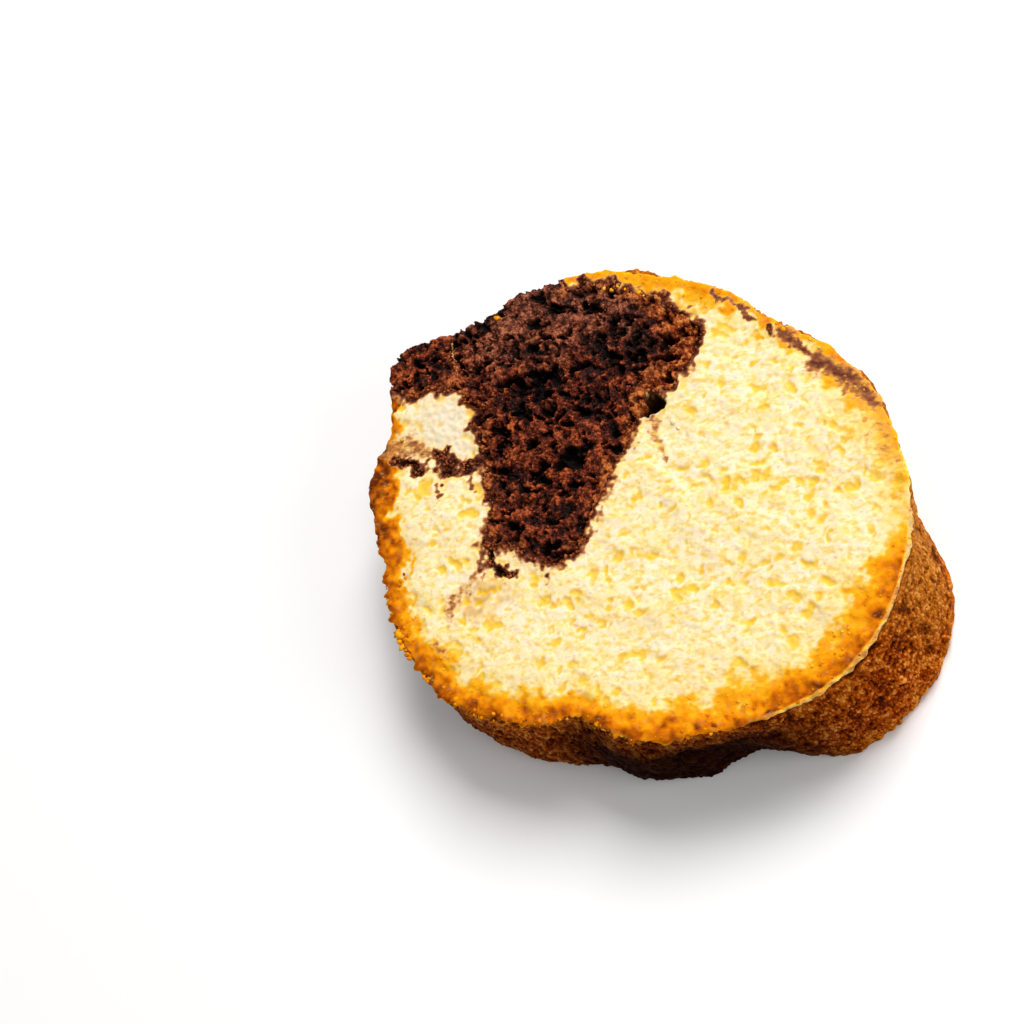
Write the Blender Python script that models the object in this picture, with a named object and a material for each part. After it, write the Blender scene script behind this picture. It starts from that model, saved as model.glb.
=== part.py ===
"""Thick slice of a marble loaf cake, lying on its back cut with the marbled cut face up.

One closed solid. Units are metres, +Z is up. X runs across the slice, Y from the
crust that lay in the tin towards the domed top, and Z through the thickness.
The origin is at the middle of the box round the slice, on the surface it lies on.
"""

import math

import bmesh
import bpy

MM = 0.001

# Driving sizes
SLICE_THICKNESS = 24.0 * MM
HALF_WIDTH = 50.0 * MM
HALF_HEIGHT = 43.5 * MM

# What makes the baked outline uneven. Each row is a rounded swell (or a dip, where the
# height is negative) with: its angle on the front cut and on the back cut in degrees,
# counter-clockwise from +X; how wide it is in degrees; and its height in millimetres
# on the front cut and on the back cut.
OUTLINE_FEATURES = (
    # crown, where the batter rose out of the tin
    ("shoulder that rose highest", 140, 140, 22, 7.5, 5.0),
    ("tip of the shoulder", 143, 143, 6, 8.0, 4.0),
    ("crown above the cocoa swirl", 104, 103, 14, 4.1, 2.0),
    ("split in the crown", 50, 50, 10, -3.3, -5.6),
    ("lip beside the split", 28, 32, 10, -1.3, 0.4),
    ("flank that sank while cooling", 8, 15, 17, 0.0, -9.6),
    # lobes of the crust that lay in the tin
    ("left corner of the tin", 166, 168, 7, 3.6, 2.0),
    ("left lobe", 205, 208, 22, 3.6, 6.6),
    ("fold between left and middle lobes", 253, 249, 5.5, -3.9, -1.6),
    ("left lobe's overhang", 243, 243, 12, -2.0, 0.0),
    ("middle lobe", 268, 268, 12, -0.9, 2.0),
    ("fold between middle and right lobes", 286, 289, 6, -0.2, -2.4),
    ("right lobe", 323, 326, 19, 3.8, 8.6),
    ("heel of the right lobe", 307, 307, 8, 0.0, 3.0),
)

# The baked wall between the two cuts, in steps from the back cut to the front cut
STEPS_AROUND = 144
WALL_STEPS = 7
WALL_BULGE = 0.8 * MM
WALL_RIPPLE = 0.35 * MM
RIPPLES_AROUND = 7
RIPPLE_LEAN = 5.0
SUNK_FLANK_ANGLE = 6.0
SUNK_FLANK_SPREAD = 18.0
EDGE_ROUNDING = 0.7 * MM

# The front cut, which a dull knife left slightly uneven
CUT_RINGS = 10
CUT_WAVE = 0.33 * MM
CUT_WAVE_ACROSS = 72.0 * MM
CUT_WAVE_UP = 56.0 * MM
CUT_WAVE_SLANTED = 47.0 * MM
SLANTED_WAVE_SHARE = 0.6
CUT_CREST_BELOW_TOP = 0.55 * MM
TORN_CORNER_ANGLE = 185.0
TORN_CORNER_SPREAD = 34.0
TORN_CORNER_DROP = 1.8 * MM

CRUST_COLOUR = (0.33, 0.09, 0.012, 1.0)


def clear_scene():
    for old in list(bpy.data.objects):
        bpy.data.objects.remove(old, do_unlink=True)


def collection_named(name):
    made = bpy.data.collections.new(name)
    bpy.context.scene.collection.children.link(made)
    return made


def turn_between(angle, centre):
    """Shortest turn from centre to angle, in degrees."""
    return (angle - centre + 180.0) % 360.0 - 180.0


def swell(angle, centre, width):
    """1 at the centre angle, falling smoothly to 0 over a few widths."""
    return math.exp(-0.5 * (turn_between(angle, centre) / width) ** 2)


def outline_radius(angle, depth):
    """Distance of the baked outline from the slice's axis.

    depth runs from 0 on the front cut to 1 on the back cut.
    """
    c, s = math.cos(math.radians(angle)), math.sin(math.radians(angle))
    radius = HALF_WIDTH * HALF_HEIGHT / math.hypot(HALF_HEIGHT * c, HALF_WIDTH * s)
    for _, front_angle, back_angle, width, front_height, back_height in OUTLINE_FEATURES:
        centre = front_angle + (back_angle - front_angle) * depth
        height = front_height + (back_height - front_height) * depth
        radius += height * MM * swell(angle, centre, width)
    return radius


def wall_radius(angle, depth):
    """The outline with the crust's bulge and shallow ripples between the two cuts.

    Where the flank sank, the wall falls straight from the front cut, with no bulge.
    """
    sunk = swell(angle, SUNK_FLANK_ANGLE, SUNK_FLANK_SPREAD)
    eased = depth * depth * (3.0 - 2.0 * depth)
    share = sunk * depth + (1.0 - sunk) * eased
    hump = 4.0 * depth * (1.0 - depth) * (1.0 - sunk)
    ripple = math.sin(math.radians(RIPPLES_AROUND * angle) + RIPPLE_LEAN * depth)
    return outline_radius(angle, share) + hump * (WALL_BULGE + WALL_RIPPLE * ripple)


def cut_height(x, y, angle, share):
    """Height of the front cut. share is 0 at its middle and 1 at its rim."""
    turn = 2.0 * math.pi
    wave = math.sin(turn * x / CUT_WAVE_ACROSS) * math.cos(turn * y / CUT_WAVE_UP)
    wave += SLANTED_WAVE_SHARE * math.sin(turn * (x + 2.0 * y) / CUT_WAVE_SLANTED)
    torn = TORN_CORNER_DROP * swell(angle, TORN_CORNER_ANGLE, TORN_CORNER_SPREAD) * share**3
    return SLICE_THICKNESS - CUT_CREST_BELOW_TOP + CUT_WAVE * wave - torn


def ring_points(radius_at, height_at):
    """One closed ring of points round the slice's axis."""
    points = []
    for step in range(STEPS_AROUND):
        angle = 360.0 * step / STEPS_AROUND
        radius = radius_at(angle)
        x = radius * math.cos(math.radians(angle))
        y = radius * math.sin(math.radians(angle))
        points.append((x, y, height_at(x, y, angle)))
    return points


def slice_rings():
    """Rings from the back cut's edge, up the baked wall and in over the front cut."""
    rings = [ring_points(lambda a: outline_radius(a, 1.0), lambda x, y, a: 0.0)]
    for step in range(1, WALL_STEPS):
        depth = 1.0 - step / WALL_STEPS
        rings.append(
            ring_points(
                lambda a, d=depth: wall_radius(a, d),
                lambda x, y, a, d=depth: (1.0 - d) * cut_height(x, y, a, 1.0),
            )
        )
    rings.append(
        ring_points(
            lambda a: outline_radius(a, 0.0),
            lambda x, y, a: cut_height(x, y, a, 1.0) - EDGE_ROUNDING,
        )
    )
    for ring in range(CUT_RINGS):
        share = 1.0 - ring / CUT_RINGS
        inset = EDGE_ROUNDING if ring == 0 else 0.0
        rings.append(
            ring_points(
                lambda a, k=share, i=inset: outline_radius(a, 0.0) * k - i,
                lambda x, y, a, k=share: cut_height(x, y, a, k),
            )
        )
    return rings


def make_slice(collection):
    """Lofts the rings into one closed solid: a flat back, the wall, and the front cut."""
    bm = bmesh.new()
    loops = [[bm.verts.new(point) for point in ring] for ring in slice_rings()]
    bm.faces.new(reversed(loops[0]))
    for lower, upper in zip(loops, loops[1:]):
        edges = []
        for loop in (lower, upper):
            edges += [
                bm.edges.get((a, b)) or bm.edges.new((a, b))
                for a, b in zip(loop, loop[1:] + loop[:1])
            ]
        bmesh.ops.bridge_loops(bm, edges=edges)
    middle = bm.verts.new((0.0, 0.0, cut_height(0.0, 0.0, 0.0, 0.0)))
    last = loops[-1]
    for a, b in zip(last, last[1:] + last[:1]):
        bm.faces.new((a, b, middle))
    bmesh.ops.recalc_face_normals(bm, faces=bm.faces[:])

    xs = [v.co.x for v in bm.verts]
    ys = [v.co.y for v in bm.verts]
    centre = ((min(xs) + max(xs)) / 2.0, (min(ys) + max(ys)) / 2.0)
    bmesh.ops.translate(bm, verts=bm.verts[:], vec=(-centre[0], -centre[1], 0.0))

    mesh = bpy.data.meshes.new("marble_cake_slice")
    bm.to_mesh(mesh)
    bm.free()
    mesh.shade_smooth()
    mesh.set_sharp_from_angle(angle=math.radians(40.0))
    made = bpy.data.objects.new("marble_cake_slice", mesh)
    collection.objects.link(made)
    return made


def baked_sponge():
    material = bpy.data.materials.new("baked_sponge")
    material.use_nodes = True
    shader = material.node_tree.nodes["Principled BSDF"]
    shader.inputs["Base Color"].default_value = CRUST_COLOUR
    shader.inputs["Roughness"].default_value = 0.8
    shader.inputs["Metallic"].default_value = 0.0
    return material


clear_scene()
cake = make_slice(collection_named("marble_cake"))
cake.data.materials.append(baked_sponge())
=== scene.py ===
"""Looks of a thick slice of marble loaf cake that lies on its back cut.

The slice is put together as it was baked and cut: the vanilla sponge, the cocoa swirl
in it, the browned crust round it, and the crumbs that the knife tore loose.
Sizes are in millimetres until a mesh is finished, and then in metres.
"""

import math

import bmesh
import bpy
import numpy as np
from mathutils import Matrix, Vector
from mathutils.bvhtree import BVHTree


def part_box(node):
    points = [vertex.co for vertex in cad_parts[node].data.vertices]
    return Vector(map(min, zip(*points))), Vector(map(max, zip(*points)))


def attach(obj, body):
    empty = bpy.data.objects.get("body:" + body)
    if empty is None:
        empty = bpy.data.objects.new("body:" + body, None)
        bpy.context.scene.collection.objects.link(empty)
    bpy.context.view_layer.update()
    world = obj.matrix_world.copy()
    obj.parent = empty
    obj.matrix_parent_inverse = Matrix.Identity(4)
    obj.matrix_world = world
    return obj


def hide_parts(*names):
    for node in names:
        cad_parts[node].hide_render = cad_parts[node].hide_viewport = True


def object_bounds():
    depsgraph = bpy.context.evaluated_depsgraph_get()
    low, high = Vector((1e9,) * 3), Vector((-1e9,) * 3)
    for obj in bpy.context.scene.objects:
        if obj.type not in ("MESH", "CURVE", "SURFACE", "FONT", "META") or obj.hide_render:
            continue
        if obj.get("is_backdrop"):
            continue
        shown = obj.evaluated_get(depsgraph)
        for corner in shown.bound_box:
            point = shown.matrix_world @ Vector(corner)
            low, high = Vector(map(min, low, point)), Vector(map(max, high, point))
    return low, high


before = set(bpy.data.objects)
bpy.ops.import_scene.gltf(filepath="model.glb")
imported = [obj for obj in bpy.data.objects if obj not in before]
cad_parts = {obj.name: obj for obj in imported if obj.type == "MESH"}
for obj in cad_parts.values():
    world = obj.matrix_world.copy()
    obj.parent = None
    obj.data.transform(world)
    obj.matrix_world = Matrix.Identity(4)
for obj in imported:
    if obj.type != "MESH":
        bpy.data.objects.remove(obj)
cad_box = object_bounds()

# ---------------------------------------------------------------------------------------
# The cut slice, read from the frame: how far its baked side lies from its axis at each
# angle and height, and how high its front cut lies at each point. Every piece below is
# laid against these two surfaces.
MM = 0.001
CAKE = "marble_cake_slice"
OUTSIDE = 100.0
RIM_HEIGHT = 21.4
low, high = (np.array(corner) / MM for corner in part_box(CAKE))

solid = bmesh.new()
solid.from_mesh(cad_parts[CAKE].data)
bmesh.ops.remove_doubles(solid, verts=solid.verts[:], dist=0.001 * MM)
cake_surface = BVHTree.FromBMesh(solid)
solid.free()

table_angles = np.radians(np.arange(0.0, 360.0, 0.5))
table_heights = np.linspace(0.4, RIM_HEIGHT, 22)
side_table = np.empty((len(table_heights), len(table_angles)))
for row, height in enumerate(table_heights):
    for column, angle in enumerate(table_angles):
        outward = Vector((math.cos(angle), math.sin(angle), 0.0))
        start = (outward * OUTSIDE + Vector((0.0, 0.0, height))) * MM
        side_table[row, column] = cake_surface.ray_cast(start, -outward)[0].xy.length / MM


def side_radius(angle, height):
    """Distance of the baked side from the slice's axis, for arrays of angle and height."""
    column = (np.asarray(angle) / table_angles[1]) % len(table_angles)
    left = np.floor(column).astype(int) % len(table_angles)
    right, across = (left + 1) % len(table_angles), column - np.floor(column)
    row = np.interp(height, table_heights, np.arange(len(table_heights)))
    below = np.minimum(row.astype(int), len(table_heights) - 2)
    up = row - below
    lower = side_table[below, left] * (1 - across) + side_table[below, right] * across
    upper = side_table[below + 1, left] * (1 - across) + side_table[below + 1, right] * across
    return lower * (1 - up) + upper * up


def cut_height(x, y):
    """Height of the front cut at arrays of points. Past its rim it keeps the rim's height."""
    inward = 0.98 * side_radius(np.arctan2(y, x), RIM_HEIGHT) / np.maximum(np.hypot(x, y), 0.1)
    inward = np.minimum(inward, 1.0)
    down = Vector((0.0, 0.0, -1.0))
    spots = zip(x * inward * MM, y * inward * MM)
    return np.array([cake_surface.ray_cast(Vector((a, b, 0.1)), down)[0].z for a, b in spots]) / MM


# ---------------------------------------------------------------------------------------
# Vanilla sponge. Pale batter baked to a fine, open crumb, sawn across by a knife: the cut
# shows burst bubbles, the stains where cocoa bled into it, and a band along the rim that
# the oven turned golden. It is one closed body with a pocket that the cocoa swirl fills.
SPONGE_STEP = 0.28
SPONGE_BACK_STEP = 0.9
STEP = 0.16
MARGIN = 4.0
CRUMB_LEAN = -14.0

# Where the cocoa batter ended on the front cut, going round it. At the upper left it ran
# out to the crust, so the outline passes outside the slice there.
COCOA_OUTLINE = (
    (-50.5, 31.5), (-46.0, 28.6), (-40.3, 27.6), (-36.0, 27.8), (-32.8, 25.9), (-30.4, 22.2),
    (-29.1, 16.4), (-28.1, 10.3), (-27.8, 4.4), (-27.5, -1.5), (-26.4, -4.6), (-22.5, -5.0),
    (-18.9, -7.5), (-15.2, -10.2), (-11.7, -9.4), (-8.5, -5.6), (-6.0, -0.1), (-3.6, 5.0),
    (-1.0, 10.9), (1.7, 15.4), (2.6, 18.6), (5.0, 21.3), (8.6, 20.8), (10.4, 22.4),
    (12.8, 25.4), (14.9, 29.2), (15.3, 32.2), (12.9, 35.4), (8.5, 38.8), (2.9, 41.4),
    (-5.1, 44.4), (-12.0, 45.7), (-15.5, 50.0), (-27.0, 49.0), (-38.0, 46.0), (-52.0, 42.0),
)
# Smears of cocoa in the sponge, and dark lines along its crease, slit and split: the points that each
# follows, its half width and how dark.
COCOA_SMEARS = (
    ("crumbs under the pale patch", ((-40.3, 15.6), (-37.5, 15.2), (-35.6, 13.4)), 1.1, 1.0),
    ("lower row of those crumbs", ((-39.0, 11.6), (-35.5, 10.6), (-33.0, 11.8), (-29.5, 12.6)), 1.0, 1.0),
    ("tan lump at the left corner", ((-47.4, 17.6), (-42.4, 17.0)), 2.0, 0.36),
    ("dark slit under that lump", ((-48.2, 15.8), (-45.2, 14.4), (-41.8, 12.0)), 0.9, 0.95),
    ("thin line down from the crumbs", ((-38.6, 10.0), (-38.4, 7.0)), 0.35, 0.5),
    ("short line beside the swirl", ((-31.6, 10.2), (-31.2, 7.2)), 0.4, 0.5),
    ("crease", ((-27.8, -4.0), (-27.4, -7.6), (-25.6, -9.8), (-23.4, -10.3)), 0.9, 1.0),
    ("brown spot by the crease", ((-30.6, -8.0), (-29.2, -9.6)), 0.8, 0.6),
    ("specks at the lower left", ((-38.8, -22.2), (-36.2, -24.2)), 0.5, 0.36),
    ("line round the beige patch", ((-31.0, -9.4), (-34.0, -12.4), (-35.4, -17.0)), 0.9, 0.32),
    ("line beside the swirl's foot", ((-28.4, 1.0), (-29.2, -3.0), (-29.0, -8.0)), 0.7, 0.42),
    ("wedge under the tunnel", ((5.6, 15.6), (6.4, 12.4)), 1.0, 0.30),
    ("tip of that wedge", ((6.4, 12.4), (7.6, 7.0)), 0.50, 0.28),
    ("strip inside the crown", ((30.6, 28.9), (34.4, 25.4), (38.0, 22.2)), 1.0, 0.60),
    ("wide end of that strip", ((37.6, 22.4), (41.0, 19.4), (44.0, 17.4)), 1.8, 0.56),
    ("last spot of the strip", ((46.0, 14.6), (47.2, 13.4)), 1.2, 0.44),
    ("blush below the strip", ((45.6, 11.6), (48.6, 7.0), (50.6, 2.0)), 1.8, 0.18),
    ("streak in the crown skin", ((17.6, 38.2), (22.0, 35.9), (26.6, 32.6)), 0.5, 0.56),
    ("mouth of the split", ((28.3, 30.6), (28.8, 29.4)), 0.5, 0.75),
)
# The golden band that the oven left along the rim: angle, how far it reaches in, how brown
# it is at the rim, and the power by which it fades (a small one ends it abruptly).
RIM_BAND = (
    (0, 4.8, 0.20, 0.9), (8, 5.6, 0.36, 0.9), (16, 6.2, 0.44, 0.9), (25, 6.0, 0.46, 0.9),
    (40, 4.2, 0.48, 0.8),
    (50, 3.0, 0.50, 0.7), (62, 3.8, 0.42, 0.7), (78, 4.8, 0.34, 0.6), (100, 3.2, 0.36, 0.6),
    (120, 1.0, 0.70, 0.6), (145, 1.0, 0.90, 0.6), (158, 3.6, 0.94, 0.4), (167, 6.2, 1.02, 0.4),
    (176, 6.2, 0.86, 0.4), (186, 5.2, 0.72, 0.45), (198, 5.4, 0.66, 0.6), (210, 6.6, 0.74, 0.8),
    (225, 7.4, 0.74, 0.95), (240, 7.2, 0.70, 1.0), (254, 6.6, 0.74, 0.9), (264, 6.8, 0.74, 1.0),
    (276, 7.6, 0.70, 1.0), (290, 8.4, 0.74, 1.05), (303, 9.2, 0.78, 1.1), (316, 9.2, 0.78, 1.1),
    (330, 9.2, 0.78, 1.0), (339, 8.0, 0.72, 0.8), (345, 4.4, 0.34, 0.8), (352, 4.0, 0.14, 0.9),
    (360, 4.5, 0.14, 0.9),
)
# The knife dragged a thin line of pale crumb along the rim between these angles.
KNIFE_LINE = (296.0, 306.0, 352.0, 358.0)
PALE_PATCH = ((-48.5, 25.5), (-38.1, 27.0), (-33.0, 24.5), (-30.6, 18.0), (-32.6, 13.8), (-40.5, 17.5), (-48.5, 17.5))
BEIGE_PATCH = ((-34.0, -12.6), (-29.0, -10.4), (-24.6, -11.8), (-22.6, -14.0), (-26.0, -18.6), (-33.5, -18.6))
# Large bubbles in the cut: x, y, radius, depth, how drawn out, and which way it leans.
SPONGE_HOLES = (
    ("tunnel beside the swirl", 5.7, 18.4, 2.1, 4.6, 1.35, 0.0),
    ("hole at the tunnel's edge", 3.8, 18.0, 1.2, 3.6, 1.2, 0.0),
    ("crease", -25.4, -10.0, 1.0, 2.6, 1.8, -25.0),
    ("upper end of the crease", -27.6, -6.4, 0.8, 2.0, 2.4, 80.0),
    ("slit at the left corner", -44.8, 14.0, 0.8, 2.0, 3.4, -33.0),
    ("pit under the pale patch", -36.6, 11.6, 0.9, 1.5, 1.5, -10.0),
)

xs = np.arange(low[0] - MARGIN, high[0] + MARGIN, STEP)
ys = np.arange(low[1] - MARGIN, high[1] + MARGIN, STEP)
X, Y = np.meshgrid(xs, ys)
FACE = X.shape


def clamp(value):
    return np.minimum(np.maximum(value, 0.0), 1.0)


def ease(value, start, end):
    """0 before start and 1 past end, smooth between them."""
    t = clamp((value - start) / (end - start))
    return t * t * (3.0 - 2.0 * t)


def blotches(shape, across, seed, stretch=1.0, lean=0.0):
    """Smooth random field, 0 on average and 1 in spread, with blotches this many mm across.

    stretch draws them out along the direction that leans this many degrees from +X.
    """
    white = np.random.default_rng(seed).standard_normal(shape)
    up = np.fft.fftfreq(shape[0], STEP)[:, None]
    along = np.fft.rfftfreq(shape[1], STEP)[None, :]
    c, s = math.cos(math.radians(lean)), math.sin(math.radians(lean))
    spread = (stretch * (along * c + up * s)) ** 2 + (up * c - along * s) ** 2
    kept = np.exp(-2.0 * (math.pi * across / 3.0) ** 2 * spread)
    field = np.fft.irfft2(np.fft.rfft2(white) * kept, s=shape)
    return (field - field.mean()) / field.std()


def caps(field, start, across, up, spots, meet, softness=1.0):
    """Meets field with the caps of many flattened balls.

    Each spot is (x, y, radius, level, rise, stretch, lean): a cap that stands rise above
    level, or hangs below it where rise is negative. across and up are the lattice's own
    coordinates from start, which may wander a little so that the caps come out uneven.
    """
    for x, y, radius, level, rise, stretch, lean in spots:
        reach = int(radius * stretch / STEP) + 4
        column, row = int((x - start[0]) / STEP), int((y - start[1]) / STEP)
        window = np.s_[max(row - reach, 0):row + reach, max(column - reach, 0):column + reach]
        dx, dy = across[window] - x, up[window] - y
        c, s = math.cos(math.radians(lean)), math.sin(math.radians(lean))
        q = ((dx * c + dy * s) / (radius * stretch)) ** 2 + ((dy * c - dx * s) / radius) ** 2
        cap = level + rise * np.maximum(0.0, 1.0 - q) ** (0.5 if rise > 0 else softness)
        field[window] = np.where(q < 1.0, meet(field[window], cap), field[window])


def scatter(seed, count, box, radius, level, rise, stretch, lean, lean_spread):
    """Random spots for caps: each of radius, level and rise is its (least, most)."""
    rng = np.random.default_rng(seed)
    share = rng.random(count) ** 2
    return np.column_stack((
        rng.uniform(box[0], box[1], count),
        rng.uniform(box[2], box[3], count),
        radius[0] + (radius[1] - radius[0]) * share,
        rng.uniform(level[0], level[1], count),
        rise[0] + (rise[1] - rise[0]) * share,
        rng.uniform(1.0, stretch, count),
        lean + rng.normal(0.0, lean_spread, count),
    ))


def distance_to(points, x, y, closed=False):
    """Distance from a path. Round a closed one it is positive inside and negative outside."""
    ends = list(zip(points, points[1:] + points[:1] if closed else points[1:]))
    nearest, inside = np.full(np.shape(x), 1e9), np.zeros(np.shape(x), bool)
    for (x1, y1), (x2, y2) in ends:
        run, rise = x2 - x1, y2 - y1
        t = clamp(((x - x1) * run + (y - y1) * rise) / (run * run + rise * rise))
        nearest = np.minimum(nearest, np.hypot(x - x1 - t * run, y - y1 - t * rise))
        if closed and y1 != y2:
            inside ^= ((y1 > y) != (y2 > y)) & (x < x1 + (y - y1) * run / rise)
    return np.where(inside, nearest, -nearest) if closed else nearest


def read_field(field, x, y):
    """Value of a lattice field at any points of the face."""
    column = np.clip((x - xs[0]) / STEP, 0, len(xs) - 1.001)
    row = np.clip((y - ys[0]) / STEP, 0, len(ys) - 1.001)
    left, below = column.astype(int), row.astype(int)
    across, up = column - left, row - below
    lower = field[below, left] * (1 - across) + field[below, left + 1] * across
    upper = field[below + 1, left] * (1 - across) + field[below + 1, left + 1] * across
    return lower * (1 - up) + upper * up


# Edges of everything in the crumb wander, because crumb tears round its bubbles.
wander_x = X + 0.45 * blotches(FACE, 3.0, 11) + 0.20 * blotches(FACE, 0.8, 12)
wander_y = Y + 0.45 * blotches(FACE, 3.0, 13) + 0.20 * blotches(FACE, 0.8, 14)
cocoa_depth = distance_to(COCOA_OUTLINE, wander_x, wander_y, closed=True)
angle_at = np.arctan2(Y, X)
from_rim = side_radius(angle_at, RIM_HEIGHT) - np.hypot(X, Y)
band_angles, band_reach, band_brown, band_power = np.array(RIM_BAND).T
degrees = np.degrees(angle_at) % 360.0
reach = np.interp(degrees, band_angles, band_reach)
browning = np.interp(degrees, band_angles, band_brown)
from_rim_torn = from_rim + 0.9 * blotches(FACE, 3.0, 21) + 0.5 * blotches(FACE, 1.0, 22)
power = np.interp(degrees, band_angles, band_power)
bake = browning * clamp(1.0 - from_rim_torn / reach) ** power
bake = bake + 0.10 * ease(-from_rim_torn, -2.0 * reach, -0.8 * reach)
bake = bake * (1.0 + 0.10 * blotches(FACE, 1.1, 23) * ease(bake, 0.2, 0.5))

crumbly = 0.30 * blotches(FACE, 0.7, 32) + 0.20 * blotches(FACE, 1.5, 33)
smear = 0.9 * ease(cocoa_depth + 0.35 * blotches(FACE, 1.1, 31), -2.1, 0.3)
for _, points, half_width, dark in COCOA_SMEARS:
    away = distance_to(points, wander_x, wander_y) + crumbly
    smear = np.maximum(smear, dark * (1.0 - ease(away, 0.1 * half_width, 2.1 * half_width)))
pale = ease(distance_to(PALE_PATCH, wander_x, wander_y, closed=True), -1.6, 2.4)
pale = clamp(pale * (0.35 + 0.65 * ease(X, -46.0, -35.0)) * (0.86 + 0.16 * blotches(FACE, 0.9, 35)))
beige = ease(distance_to(BEIGE_PATCH, wander_x, wander_y, closed=True), -1.8, 1.8)
beige = clamp(beige * (0.50 + 0.45 * blotches(FACE, 1.2, 34)))

# The crumb itself: fine burst cells everywhere, wider bubbles here and there.
corner = (xs[0], ys[0])
face_box = (low[0], high[0], low[1], high[1])
cells, bubbles, holes = np.zeros(FACE), np.zeros(FACE), np.zeros(FACE)
fine = scatter(41, 12000, face_box, (0.28, 0.72), (0.0, 0.10), (-0.16, -0.40), 1.9, CRUMB_LEAN, 25)
wide = scatter(42, 1500, face_box, (0.50, 1.40), (0.0, 0.06), (-0.35, -0.95), 1.7, CRUMB_LEAN, 20)
named = [(x, y, radius, 0.0, -depth, stretch, lean)
         for _, x, y, radius, depth, stretch, lean in SPONGE_HOLES]
caps(cells, corner, wander_x, wander_y, fine, np.minimum, 1.5)
caps(bubbles, corner, wander_x, wander_y, wide, np.minimum, 1.8)
caps(holes, corner, wander_x, wander_y, named, np.minimum)
near_rim = ease(from_rim, 0.2, 2.6)
sponge_relief = np.minimum(cells, bubbles) * 0.55 * (1.0 - 0.75 * pale) * near_rim
sponge_relief = np.minimum(sponge_relief, holes)
sponge_relief += 0.035 * blotches(FACE, 0.6, 43) + 0.06 * blotches(FACE, 1.6, 44, 1.6, CRUMB_LEAN)
sponge_relief += 0.12 * blotches(FACE, 5.0, 45) + 0.20 * bake * blotches(FACE, 1.2, 46)
sponge_relief += 0.09 * pale * blotches(FACE, 0.8, 47)
# Painted shade: the bubbles are coloured a deeper yellow by how deep they go, and the large holes dark brown.
bubble_shade = clamp(-np.minimum(0.9 * cells, bubbles) / 0.55) * (1.0 - 0.9 * pale)
hole_shade = clamp(-holes / 0.55)
cocoa_bed = 3.2 * ease(cocoa_depth, 0.1, 1.3)


def clipped_grid(bm, step, height, box, kept):
    """Adds a flat square grid at this height, without the points that kept rules out."""
    half_x, half_y = (box[1] - box[0]) / 2.0, (box[3] - box[2]) / 2.0
    made = bmesh.ops.create_grid(
        bm, x_segments=int(2 * half_x / step), y_segments=int(2 * half_y / step), size=1.0
    )["verts"]
    bmesh.ops.scale(bm, vec=(half_x, half_y, 1.0), verts=made)
    bmesh.ops.translate(bm, vec=(box[0] + half_x, box[2] + half_y, height), verts=made)
    places = np.array([vert.co[:2] for vert in made])
    stays = kept(places[:, 0], places[:, 1])
    bmesh.ops.delete(bm, geom=[v for v, stay in zip(made, stays) if not stay], context="VERTS")
    bmesh.ops.delete(bm, geom=[v for v in bm.verts if not v.link_faces], context="VERTS")
    return [e for e in bm.edges if e.is_boundary and abs(e.verts[0].co.z - height) < 1e-6]


def skirt(bm, edges, *levels):
    """Extrudes a border to each level in turn and returns the last ring of edges."""
    for level in levels:
        made = bmesh.ops.extrude_edge_only(bm, edges=edges)["geom"]
        for vert in (part for part in made if isinstance(part, bmesh.types.BMVert)):
            vert.co.z = level
        edges = [part for part in made if isinstance(part, bmesh.types.BMEdge) and part.is_boundary]
    return edges


def gap_to_side(x, y, height):
    """How far points lie inside the baked side at this height."""
    return side_radius(np.arctan2(y, x), height) - np.hypot(x, y)


def in_sponge(x, y):
    """The face out to the rim, less the middle of the cocoa swirl."""
    gap = gap_to_side(x, y, RIM_HEIGHT)
    return (gap > 0.1) & ((gap < 3.5) | (read_field(cocoa_depth, x, y) < 2.4))


def in_back(x, y):
    return gap_to_side(x, y, 0.0) > 0.3


def piece_from(bm, name, material):
    """Makes a piece of the slice from a closed bmesh."""
    bmesh.ops.recalc_face_normals(bm, faces=bm.faces[:])
    mesh = bpy.data.meshes.new(name)
    bm.to_mesh(mesh)
    bm.free()
    mesh.shade_smooth()
    mesh.materials.append(material)
    made = bpy.data.objects.new(name, mesh)
    bpy.context.scene.collection.objects.link(made)
    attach(made, "root")
    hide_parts(CAKE)
    return made


def points_of(mesh):
    flat = np.empty(3 * len(mesh.vertices))
    mesh.vertices.foreach_get("co", flat)
    return flat.reshape(-1, 3)


def place(mesh, points, **marks):
    """Puts a mesh's points where they belong, in metres, and stores marks on its points."""
    mesh.vertices.foreach_set("co", (points * MM).ravel())
    for name, values in marks.items():
        mesh.attributes.new(name, "FLOAT", "POINT").data.foreach_set("value", values)
    mesh.update()


def colour(code):
    """An sRGB hex colour as the linear colour that shaders take."""
    parts = [int(code[i:i + 2], 16) / 255.0 for i in (1, 3, 5)]
    return [c / 12.92 if c <= 0.04045 else ((c + 0.055) / 1.055) ** 2.4 for c in parts] + [1.0]


def add_node(tree, kind, inputs=None, stops=None, **settings):
    """Adds a shader node with its settings, its inputs' values or links, and its stops."""
    node = tree.nodes.new("ShaderNode" + kind)
    for name, value in settings.items():
        setattr(node, name, value)
    for name, value in (inputs or {}).items():
        if isinstance(value, bpy.types.NodeSocket):
            tree.links.new(value, node.inputs[name])
        else:
            node.inputs[name].default_value = value
    for number, (position, code) in enumerate(stops or ()):
        ramp = node.color_ramp.elements
        stop = ramp[number] if number < 2 else ramp.new(position)
        stop.position, stop.color = position, colour(code)
    return node
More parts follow.
